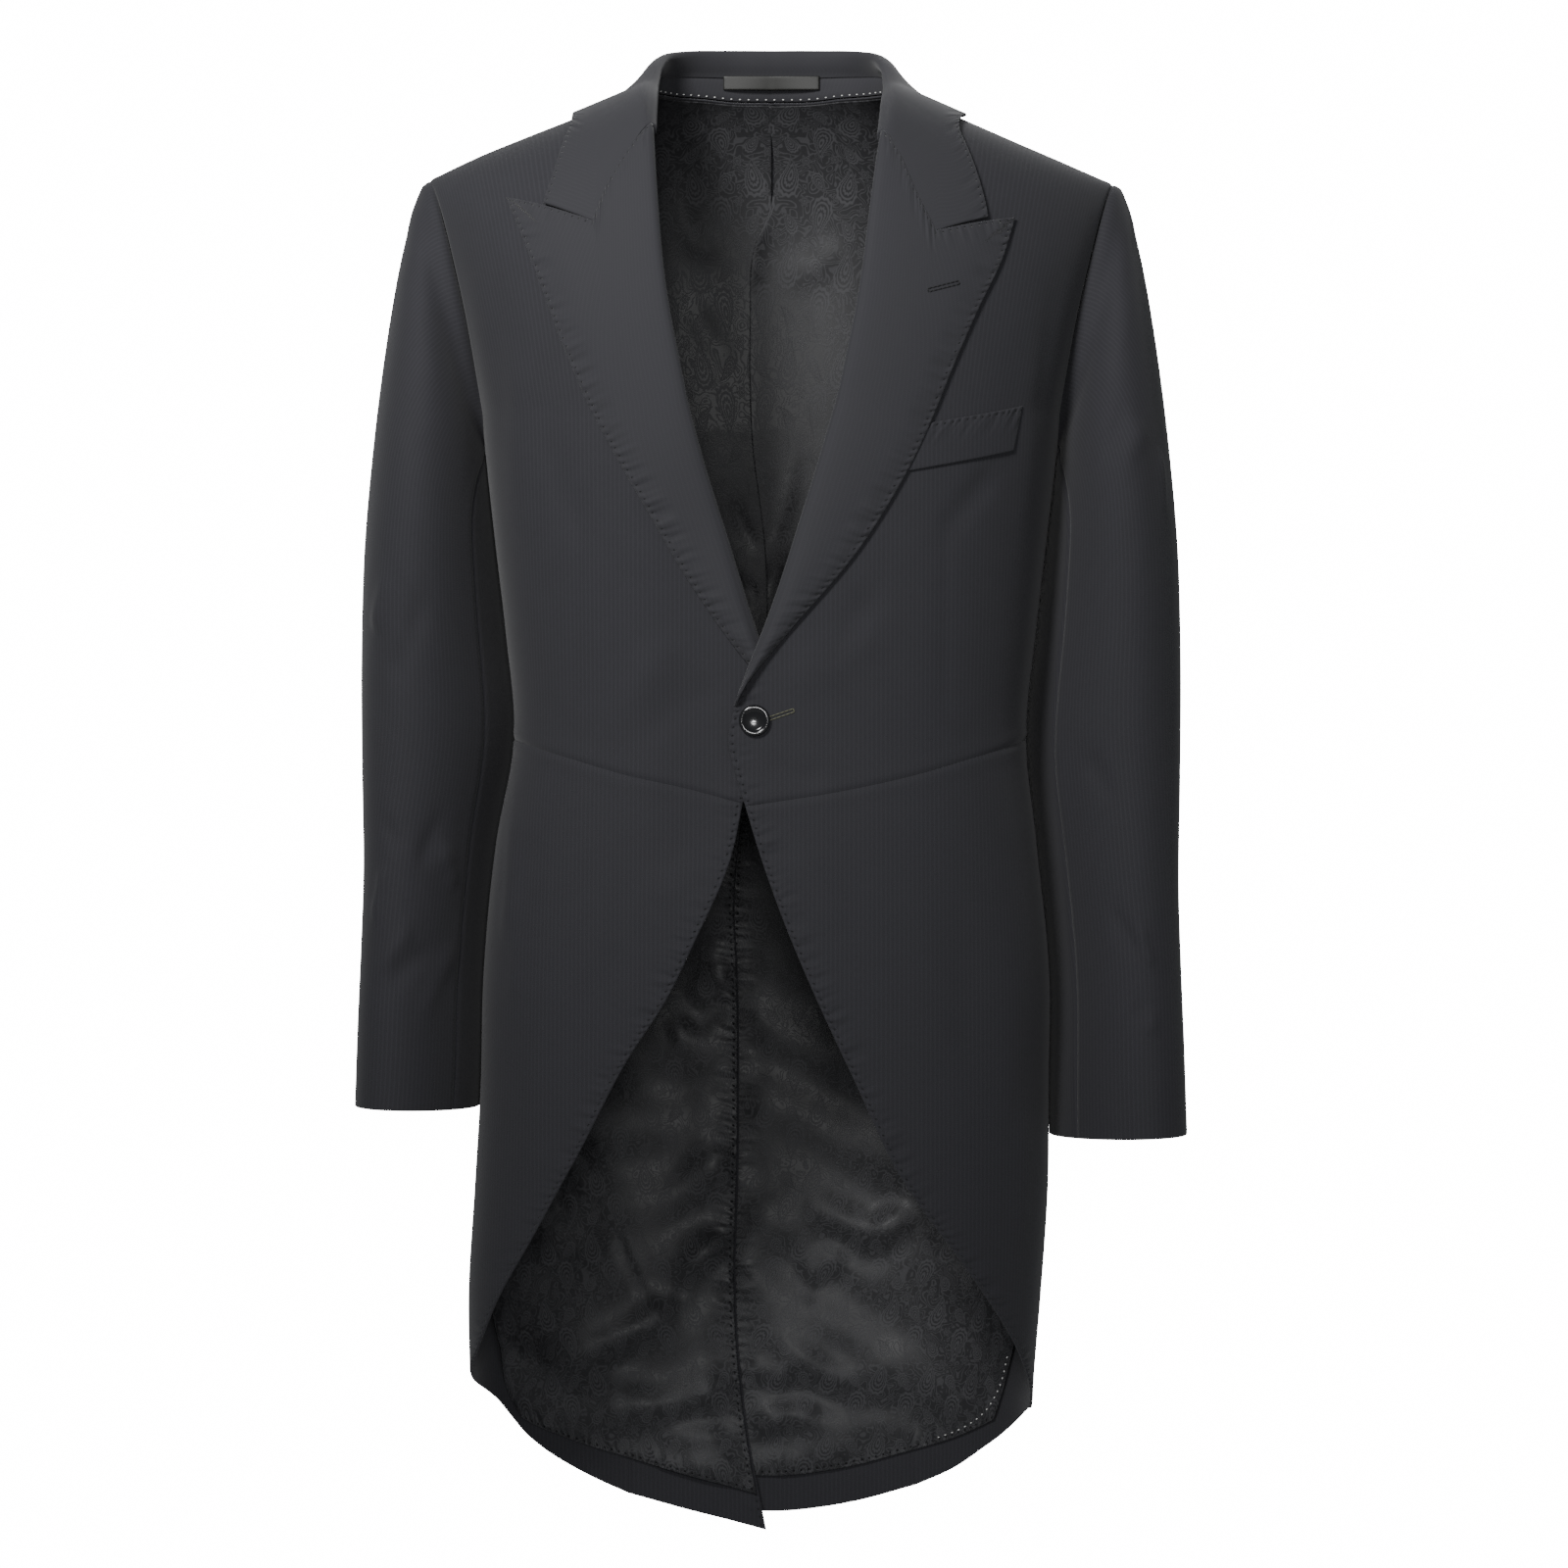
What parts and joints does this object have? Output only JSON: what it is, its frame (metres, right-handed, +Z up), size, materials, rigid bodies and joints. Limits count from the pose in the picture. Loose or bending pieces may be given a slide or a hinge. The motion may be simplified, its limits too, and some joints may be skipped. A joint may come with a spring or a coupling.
{
  "type": "morning coat",
  "caption": "Cutaway morning coat with peak lapels, fastened at the front and filled out as worn, tails lined in satin, sleeves hanging at the sides.",
  "frame": {"origin": "middle of the neck's base, level with the side neck points, where the wearer's shoulders hold the coat up", "axes": "+Z up, -Y the coat's front, +X the wearer's left"},
  "size_m": [0.554, 0.2552, 1.0219],
  "materials": {
    "wool": "charcoal herringbone wool",
    "facing": "plain charcoal wool",
    "lining": "black jacquard satin",
    "loop": "olive satin",
    "button": "polished black"
  },
  "bodies": {
    "root": {"forepart_left": "wool", "forepart_right": "wool", "side_body_left": "wool", "side_body_right": "wool", "skirt_left": "wool", "skirt_right": "wool", "back_left": "wool", "back_right": "wool", "top_sleeve_left": "wool", "top_sleeve_right": "wool", "under_sleeve_left": "wool", "under_sleeve_right": "wool", "lapel_left": "facing", "lapel_right": "facing", "collar_leaf": "facing", "collar_stand": "facing", "back_lining_left": "lining", "back_lining_right": "lining", "tail_lining_left": "lining", "tail_lining_right": "lining", "hanger_loop": "loop", "breast_welt": "wool", "front_button": "button"}
  },
  "joints": []
}
